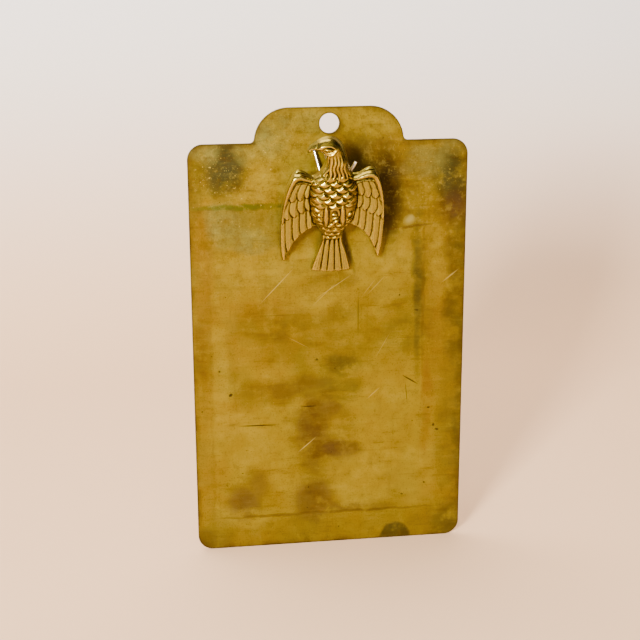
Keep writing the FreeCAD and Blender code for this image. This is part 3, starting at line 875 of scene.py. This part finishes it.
GOLD = (0.188, 0.124, 0.002)
AMBER = (0.150, 0.078, 0.001)
RUST = (0.140, 0.070, 0.001)
BROWN = (0.058, 0.028, 0.001)
UMBER = (0.014, 0.008, 0.001)
OLIVE = (0.115, 0.084, 0.003)
DARK_OLIVE = (0.034, 0.027, 0.002)
SAGE = (0.15, 0.132, 0.022)
GREEN = (0.036, 0.055, 0.002)
PALE = (0.34, 0.25, 0.035)
DULL_GOLD = (0.138, 0.088, 0.002)
GHOST = (0.180, 0.130, 0.004)
BRIGHT = (0.232, 0.165, 0.006)
SLATE = (0.030, 0.029, 0.006)
PLUM = (0.058, 0.029, 0.009)
MOSS = (0.125, 0.105, 0.009)
SHADE = (0.034, 0.027, 0.003)
EARTH = (0.050, 0.032, 0.002)
TAN = (0.110, 0.070, 0.002)
STRAW = (0.225, 0.160, 0.005)
SOOT = (0.060, 0.036, 0.001)
SCRATCH = (0.45, 0.34, 0.07)
BLOB = (0.185, 0.148, 0.018)
BLOB_CENTRE = (0.26, 0.21, 0.05)
RIM = (0.045, 0.032, 0.003)


class SheetPaint(Paint):
    """Paint laid out on the sheet: u is mm to the right of its middle, v is mm above its foot."""

    def __init__(self, name, colour):
        super().__init__(name, colour)
        self.wide = self.warp(30.0, 0.016)
        self.fine = self.warp(140.0, 0.003)
        self.cloud = self.noise(13.0, 6.0, 0.62)
        self.mottle = self.noise(75.0, 6.0, 0.68, shift=3.0)
        self.grain = self.noise(1100.0, 3.0, 0.6, shift=7.0)
        self.across = self.noise(120.0, 6.0, 0.8, stretch=(0.35, 1, 3.0), shift=1.0)
        torn = self.noise(90.0, 6.0, 0.7, stretch=(0.7, 1, 1.3), shift=14.0)
        self.ragged = self.remap(torn, 0.36, 0.60, 0.35, 1.0)
        height = self.node("SeparateXYZ", {0: self.fine}).outputs[2]
        self.upper = self.remap(height, -0.13, -0.03)

    def rounded(self, half_wide, half_tall, middle, radius):
        """How far inside a rounded box a place is, in metres; the sizes are in millimetres."""
        split = self.node("SeparateXYZ", {0: self.flat}).outputs
        over = self.math("SUBTRACT", self.math("ABSOLUTE", split[0]), half_wide * MM)
        up = self.math("ABSOLUTE", self.math("SUBTRACT", split[2], middle * MM))
        above = self.math("SUBTRACT", up, half_tall * MM)
        squares = [self.math("POWER", self.math("MAXIMUM", value, 0.0), 2.0)
                   for value in (over, above)]
        return self.math("SUBTRACT", radius * MM, self.math("SQRT", self.math("ADD", *squares)))

    def depth_inside(self):
        """Millimetres in from the sheet's edge and its hang hole."""
        tall = (SHOULDER - SHEET_FOOT) / 2
        body = self.rounded(SHEET_HALF - SHEET_CORNER, tall - SHEET_CORNER,
                            SHOULDER - tall, SHEET_CORNER)
        tab = self.rounded(TAB_FLAT_HALF, 10.0, SHOULDER - 10.0, TAB_RISE)
        hole = self.math("MULTIPLY", self.rounded(0.0, 0.0, 0.0, HOLE_RADIUS), -1.0)
        sheet = self.math("MAXIMUM", body, tab)
        return self.math("MULTIPLY", self.math("MINIMUM", sheet, hole), 1000.0)

    def spots(self, places, place, softness=0.5):
        """Soft ovals: (u, v, half width, half height, strength), and degrees where one is turned."""
        total = None
        for u, v, wide, high, strength, *turned in places:
            turn = math.radians(turned[0] if turned else 0)
            c, s = math.cos(turn), math.sin(turn)
            squares = None
            for size, axis in ((wide, (c, 0, s)), (high, (-s, 0, c))):
                line = Vector(axis) / (size * MM)
                offset = line.dot(Vector((u * MM, 0, v * MM + SHEET_LOW[2])))
                along = self.node("VectorMath", {0: place, 1: line},
                                  operation="DOT_PRODUCT").outputs["Value"]
                along = self.math("SUBTRACT", along, offset)
                square = self.math("MULTIPLY", along, along)
                squares = square if squares is None else self.math("ADD", squares, square)
            share = self.remap(squares, (1 + softness) ** 2, (1 - softness) ** 2, 0.0, strength)
            total = share if total is None else self.math("MAXIMUM", total, share)
        return total

    def panel(self, left, right, low, high, softness, place):
        """A soft-edged rectangle."""
        x, _, z = self.node("SeparateXYZ", {0: place}).outputs
        share = 1.0
        for value, near, far in ((x, left, right), (z, SHEET_FOOT + low, SHEET_FOOT + high)):
            for inner, outer in ((near - softness, near + softness), (far + softness, far - softness)):
                side = self.remap(value, inner * MM, outer * MM)
                share = self.math("MULTIPLY", share, side)
        return share


def lay_ground(p):
    """Amber and olive clouds, and the pale ghost of the paper inside a duller margin."""
    p.layer(p.remap(p.cloud, 0.40, 0.66, 0, 0.6), AMBER)
    p.layer(p.remap(p.noise(24.0, 5.0, 0.6, shift=11.0), 0.44, 0.68, 0, 0.85), OLIVE)
    p.layer(p.remap(p.mottle, 0.44, 0.66, 0, 0.5), BROWN, p.upper)
    ghost = p.math("MAXIMUM", p.panel(-66, 0, 18, 174.5, 1.6, p.fine),
                   p.panel(0, 53.5, 18, 186, 1.6, p.fine))
    margin = p.math("SUBTRACT", 1.0, ghost)
    p.layer(margin, DULL_GOLD, p.remap(p.mottle, 0.38, 0.62, 0.1, 0.7))
    p.layer(ghost, GHOST, p.remap(p.cloud, 0.3, 0.7, 0.55, 0.1))


def lay_stains_and_shadows(p):
    """The blotches where they lie on the sheet, the bright ones first and the green line last, with
    painted shadows of the eagle among them.
    """
    p.layer(p.spots([
        (55.5, 84, 2.6, 24, 0.9), (62, 150, 8, 36, 0.7), (-70, 150, 4, 36, 0.6), (-34, 213, 18, 9, 0.5),
        (34, 226, 10, 8, 0.6, -20), (60, 205, 10, 6, 0.4)], p.wide, 0.85), RUST, p.ragged)
    p.layer(p.spots([
        (-28, 222, 19, 15, 0.9), (-18, 243, 26, 7, 0.8), (20, 243, 15, 7, 0.8),
        (52, 204, 9, 6, 0.7, 10), (-46, 207, 20, 5, 0.7), (-20, 166, 32, 8, 0.7),
        (34, 166, 16, 14, 0.6), (-8, 146, 12, 6, 0.5), (30, 38, 24, 15, 0.95), (-46, 62, 12, 24, 0.4),
        (60, 168, 4, 18, 0.6), (-62, 90, 5, 34, 0.5), (-52, 15, 16, 5, 0.7), (62, 40, 5, 22, 0.5),
        (30, 75, 18, 18, 0.35)], p.wide, 0.85), BRIGHT, p.ragged)
    # Brown blotches; the oval at (40, 214), beside the right wing, is painted shadow that widens the
    # eagle's cast shadow.
    p.layer(p.spots([
        (-26, 94, 20, 6, 0.65, 6), (-31, 134, 14, 9, 0.4), (-9, 66, 9, 19, 0.85, 4),
        (5, 57, 10, 5, 0.9, -6), (-1, 84, 9, 7, 0.55), (-47, 28, 9, 8, 0.5), (-40, 40, 6, 8, 0.3, 10),
        (-9, 29, 8, 12, 0.6), (12, 21, 20, 2.8, 0.55, -2), (69, 198, 8, 9, 0.95),
        (36, 191, 8, 5, 0.6, 5), (-1, 156, 12, 4.5, 0.6, 12), (-47, 188, 6, 9, 0.5),
        (6, 70, 8, 14, 0.5), (40, 214, 12, 13, 0.6), (4, 50, 10, 5, 0.4), (18, 146, 20, 5, 0.3, 30),
        (-71, 118, 4, 14, 0.5), (48, 200, 12, 5, 0.35)], p.wide, 0.8), BROWN, p.ragged)
    p.layer(p.spots([
        (6, 109, 9, 6, 0.65), (49.5, 148, 2.6, 34, 0.75), (42, 128, 13, 14, 0.5),
        (-56, 221, 8, 12, 1.0, -6), (67, 216, 8, 15, 0.95), (71, 150, 5, 36, 0.7),
        (-72, 214, 4, 13, 0.5), (4, 122, 34, 12, 0.35), (8, 94, 9, 6, 0.55), (-32, 242, 9, 3, 0.5, 30),
        (70, 60, 6, 34, 0.4), (-66, 10, 9, 8, 0.4), (42, 36, 8, 9, 0.25), (68, 12, 8, 12, 0.5),
        (75, 110, 3.5, 100, 0.7), (74, 20, 5, 20, 0.6)], p.wide, 0.85), DARK_OLIVE, p.ragged)
    # Painted shadow: near-black ovals beside the head, down the right wing's edge and beside the tail,
    # where the eagle's cast shadow falls.
    p.layer(p.spots([
        (32, 204, 6, 20, 0.85, 4), (16, 227, 8, 8, 0.6), (24, 218, 8, 6, 0.7),
        (9.8, 175.5, 1.1, 10.5, 0.85, 14.8), (31, 180, 1.4, 8, 0.5, -4)], p.fine, 0.9), UMBER)
    p.layer(p.spots([
        (-57, 222, 6.5, 10.5, 0.95, -8), (-54, 213, 4, 4, 0.8), (67, 214, 5, 10, 0.75, 10),
        (5, 109, 5, 3.5, 0.15), (49.5, 150, 1.4, 26, 0.35)], p.fine, 0.95), SLATE)
    p.layer(p.spots([
        (5, 57, 9, 4, 0.5, -4), (-10, 68, 7, 13, 0.3), (-50, 27, 6, 7, 0.55), (-41, 38, 4, 6, 0.35),
        (-10, 27, 8, 8, 0.5), (70, 197, 5, 6, 0.7), (12, 21, 14, 1.8, 0.25, -2),
        (-1, 83, 5, 3, 0.4)], p.fine, 0.9), PLUM)
    p.layer(p.panel(-63, -26, 176, 198.5, 2.0, p.fine), MOSS, 0.55)
    p.layer(p.spots([
        (-58, 190, 6, 9, 0.85), (-44, 181, 8, 5, 0.8), (-69, 230, 6, 5, 0.85),
        (-31, 239, 9, 8, 0.85, 30), (53, 222, 10, 8, 0.7, 8), (66, 230, 7, 4, 0.6),
        (-46, 230, 5, 5, 0.6), (-12, 243, 10, 4, 0.5)], p.wide, 0.85), SAGE, p.ragged)
    p.layer(p.spots([(-47, 199.2, 21, 1.2, 0.7)], p.fine, 0.8), GREEN)
    p.layer(p.spots([
        (43, 185.6, 13, 0.6, 0.8, 5), (-6, 18.6, 48, 0.7, 0.6), (-66.3, 100, 0.8, 78, 0.15),
        (52.6, 150, 0.7, 34, 0.4)], p.fine, 0.8), BROWN)
    p.layer(p.spots([(38.5, 0.5, 9, 9.3, 0.85)], p.fine, 0.12), SHADE)
    p.layer(p.spots([(72, 6, 8, 10, 0.6), (-74, 4, 5, 7, 0.5)], p.wide, 0.7), EARTH)


def lay_grain(p):
    """What is all over the sheet: mottling, crazing, polishing streaks, flecks and pits."""
    p.layer(p.remap(p.noise(100.0, 5.0, 0.66, shift=17.0), 0.50, 0.74, 0, 0.6), TAN)
    p.layer(p.remap(p.noise(84.0, 5.0, 0.66, shift=29.0), 0.52, 0.74, 0, 0.5), STRAW)
    craze = p.noise(260.0, 5.0, 0.7, shift=33.0)
    p.layer(p.remap(craze, 0.53, 0.64, 0, 0.35), BROWN, p.upper)
    p.layer(p.remap(craze, 0.46, 0.36, 0, 0.18), PALE, p.upper)
    streaks = p.math("MULTIPLY", p.remap(p.across, 0.50, 0.74), p.remap(p.mottle, 0.35, 0.6, 0.2, 0.8))
    p.layer(streaks, PALE, 0.16)
    p.layer(p.remap(p.across, 0.48, 0.30), BROWN, 0.40)
    upright = p.noise(120.0, 6.0, 0.8, stretch=(3.4, 1, 0.3), shift=5.0)
    p.layer(p.remap(upright, 0.52, 0.75), BROWN, 0.25)
    p.layer(p.remap(p.grain, 0.50, 0.72), SOOT, 0.38)
    speck = p.remap(p.noise(520.0, 3.0, 0.6, shift=20.0), 0.66, 0.72)
    upper_corners = p.spots([
        (-50, 220, 26, 26, 0.9), (56, 222, 20, 20, 0.6), (0, 120, 70, 120, 0.12)], p.wide, 0.5)
    p.layer(speck, PALE, upper_corners)
    flecks = p.remap(p.noise(1300.0, 2.0, 0.5, shift=60.0), 0.64, 0.74, 0, 0.75)
    worn = p.spots([
        (-54, 222, 16, 16, 1), (-26, 238, 18, 13, 0.9), (58, 222, 15, 16, 0.6),
        (0, 130, 90, 150, 0.2)], p.wide, 0.6)
    p.layer(flecks, PALE, worn)
    dimples = p.remap(p.noise(1300.0, 2.0, 0.5, shift=75.0), 0.60, 0.70, 0, 0.35)
    p.layer(dimples, BROWN, worn)
    pits = p.remap(p.noise(300.0, 2.0, 0.5, shift=40.0), 0.76, 0.79)
    p.layer(pits, UMBER, 0.7)


def lay_marks(p):
    """Single pits, dark and pale scratches, and a pale blob beside the wing."""
    p.layer(p.spots([
        (-56, 93, 0.7, 0.7, 0.9), (39, 147, 0.5, 0.5, 0.9), (55, 34, 0.5, 0.5, 0.8),
        (57, 80, 0.9, 0.6, 0.8), (60, 69, 0.7, 0.7, 0.8), (-72, 84, 0.5, 0.5, 0.8),
        (62, 66, 1.1, 0.6, 0.8, -20), (-62, 107, 0.5, 0.5, 0.8), (5, 9, 0.5, 0.5, 0.7),
        (49, 138, 1.1, 0.6, 0.6)], p.fine, 0.4), UMBER)
    dark_lines = [
        (-41, 74, 8, 0.3, 0.9, -1), (-12, 84, 3.5, 0.3, 0.8), (46, 97, 4, 0.32, 0.9, -32),
        (44, 89, 0.25, 5, 0.5, 6), (16, 136, 0.22, 9, 0.6), (-30, 138, 9, 0.3, 0.3)]
    p.layer(p.spots(dark_lines, p.flat, 0.6), UMBER)
    pale_lines = [
        (-29, 155, 9, 0.16, 0.5, 46), (2, 153, 8, 0.14, 0.4, 33), (-3, 149, 6, 0.13, 0.35, 44),
        (26, 153, 5, 0.14, 0.35, 46), (22, 152, 4, 0.13, 0.3, 52), (68, 157, 4, 0.3, 0.4, 38),
        (-13, 61, 4.5, 0.18, 0.55, 40), (25, 90, 3.5, 0.16, 0.45, 42), (-18, 122, 5, 0.14, 0.2, -30),
        (30, 118, 6, 0.13, 0.2, 60)]
    p.layer(p.spots(pale_lines, p.flat, 0.7), SCRATCH)
    # A pale oval with a paler centre, beside the right wing.
    p.layer(p.spots([(44.5, 189.6, 3.2, 2.5, 0.6, 20)], p.fine, 0.3), BLOB)
    p.layer(p.spots([(45, 190, 1.8, 1.2, 0.5, 30)], p.fine, 0.8), BLOB_CENTRE)


def lay_rim(p):
    """The darker rim of the sheet and of its hang hole."""
    inside = p.depth_inside()
    p.layer(p.remap(inside, 4.0, 0.5), BROWN, p.remap(p.mottle, 0.35, 0.6, 0.6, 0.1))
    p.layer(p.remap(inside, 1.15, 0.35), RIM, p.remap(p.mottle, 0.3, 0.6, 1.0, 0.55))


def front_patina_and_shadows():
    """Fifty years of patina, with the ghost of the paper that the sheet once held, and painted shadows
    of the eagle.
    """
    p = SheetPaint("sheet_patina_and_shadows", GOLD)
    for lay in (lay_ground, lay_stains_and_shadows, lay_grain, lay_marks, lay_rim):
        lay(p)
    p.drive("Metallic", p.remap(p.mottle, 0.35, 0.65, 0.66, 0.42))
    p.drive("Roughness", p.math("ADD", p.remap(p.mottle, 0.3, 0.7, 0.34, 0.50),
                                p.remap(p.across, 0.3, 0.7, -0.05, 0.05)))
    p.drive("Specular IOR Level", 0.1)
    relief = p.math("ADD", p.math("MULTIPLY", p.across, 0.6), p.math("MULTIPLY", p.grain, 0.4))
    p.bump(relief, 0.25, 0.00012)
    return p.finish()


def edge_metal():
    """The cut edge, dark brown with paler clouds."""
    p = Paint("sheet_edge", (0.055, 0.032, 0.002))
    p.layer(p.remap(p.noise(90.0, 5.0, 0.6), 0.45, 0.65), (0.13, 0.080, 0.004))
    p.drive("Metallic", 0.8)
    p.drive("Roughness", 0.5)
    return p.finish()


def back_patina():
    """The back, which held no paper: brown brass with soft patches."""
    p = Paint("sheet_back", (0.158, 0.117, 0.007))
    p.layer(p.remap(p.noise(16.0, 6.0, 0.62, shift=51.0), 0.40, 0.64, 0, 0.8), (0.105, 0.072, 0.003))
    p.layer(p.remap(p.noise(34.0, 6.0, 0.65, shift=57.0), 0.46, 0.68, 0, 0.75), (0.100, 0.080, 0.006))
    p.layer(p.remap(p.noise(60.0, 6.0, 0.7, stretch=(0.6, 1, 1.6), shift=61.0), 0.50, 0.76, 0, 0.65),
            (0.050, 0.034, 0.003))
    p.layer(p.remap(p.noise(90.0, 6.0, 0.7, shift=67.0), 0.54, 0.72, 0, 0.6), (0.225, 0.160, 0.008))
    p.layer(p.remap(p.noise(1100.0, 3.0, 0.6, shift=71.0), 0.52, 0.70, 0, 0.4), (0.045, 0.026, 0.001))
    p.drive("Metallic", p.remap(p.noise(60.0, 4.0, 0.6, shift=73.0), 0.35, 0.65, 0.75, 0.5))
    p.drive("Roughness", p.remap(p.noise(50.0, 5.0, 0.6, shift=77.0), 0.3, 0.7, 0.34, 0.52))
    p.drive("Specular IOR Level", 0.1)
    return p.finish()


def paint_sheet(sheet):
    """Front, cut edge and back, by the way that each face looks."""
    sheet.data.materials.clear()
    for material in (front_patina_and_shadows(), edge_metal(), back_patina()):
        sheet.data.materials.append(material)
    for face in sheet.data.polygons:
        face.material_index = 0 if face.normal.y < -0.95 else 2 if face.normal.y > 0.95 else 1


def paint_eagle(eagle):
    """Paler on the high places, from polish and painted highlight; dark in the recesses, from old
    polish and painted shade; painted shade on faces that look up.
    """
    p = Paint("eagle_patina_and_painted_light", (0.30, 0.215, 0.020))
    recess = p.node("Attribute", attribute_name="recess").outputs["Fac"]
    broken = p.math("ADD", recess, p.remap(p.noise(700.0, 4.0, 0.6), 0.3, 0.7, -0.05, 0.05))
    p.layer(p.remap(p.noise(60.0, 4.0, 0.55), 0.4, 0.7, 0, 0.7), (0.20, 0.132, 0.006))
    p.layer(p.remap(p.noise(130.0, 4.0, 0.55, shift=5.0), 0.5, 0.75, 0, 0.45), (0.165, 0.136, 0.014))
    height = p.node("Attribute", attribute_name="height").outputs["Fac"]
    p.layer(p.remap(height, 5.2, 3.4, 0, 0.85), (0.290, 0.248, 0.034))
    # Painted highlight, partly polish too: sharp ridges and edges turn pale gold.
    p.layer(p.remap(broken, -0.06, -0.30, 0, 0.8), (0.44, 0.335, 0.052))
    # Painted shade: faces that look up, in the eagle's own frame, are darkened to deep amber.
    facing = p.node("TexCoord").outputs["Normal"]
    upward = p.node("SeparateXYZ", {0: facing}).outputs[2]
    p.layer(p.remap(upward, 0.25, 0.75, 0, 0.55), (0.220, 0.118, 0.010))
    # Dark in the recesses: old polish and dirt, deepened by painted shade, near black in the narrowest
    # grooves.
    p.layer(p.remap(broken, 0.0, 0.14, 0, 0.8), (0.080, 0.048, 0.004))
    p.layer(p.remap(broken, 0.10, 0.30, 0, 0.95), (0.016, 0.009, 0.001))
    p.drive("Metallic", 1.0)
    worn = p.remap(p.noise(240.0, 4.0, 0.6, shift=9.0), 0.3, 0.7, -0.04, 0.07)
    p.drive("Roughness", p.math("ADD", p.remap(broken, -0.2, 0.2, 0.23, 0.50), worn))
    p.bump(p.noise(1500.0, 3.0, 0.6, shift=2.0), 0.12, 0.0001)
    eagle.data.materials.clear()
    eagle.data.materials.append(p.finish())


def paint_metal(thing, name, colour, tint, metallic, low, high, scale=160.0):
    """A plain metal with a little tarnish."""
    p = Paint(name, colour)
    cloud = p.noise(scale, 5.0, 0.6)
    p.layer(p.remap(cloud, 0.42, 0.7, 0, 0.85), tint)
    p.drive("Metallic", metallic)
    p.drive("Roughness", p.remap(cloud, 0.3, 0.7, low, high))
    p.bump(p.noise(scale * 9, 3.0, 0.6), 0.1, 0.00008)
    thing.data.materials.clear()
    thing.data.materials.append(p.finish())


paint_sheet(make_sheet())
paint_eagle(make_eagle())
paint_metal(make_spring(), "spring_plating", (0.80, 0.76, 0.70), (0.50, 0.45, 0.38), 1.0, 0.14, 0.32)
for rivet_name in ("rivet_upper", "rivet_lower"):
    paint_metal(make_rivet(rivet_name), rivet_name + "_brass",
                (0.30, 0.200, 0.012), (0.13, 0.082, 0.004), 0.95, 0.25, 0.45)
paint_metal(frame["nodes"]["clip_base"], "saddle_patina",
            (0.33, 0.228, 0.018), (0.15, 0.098, 0.006), 0.92, 0.28, 0.48)
paint_metal(frame["nodes"]["hinge_pin"], "pin_steel_worn",
            (0.45, 0.42, 0.38), (0.24, 0.19, 0.14), 1.0, 0.22, 0.45)
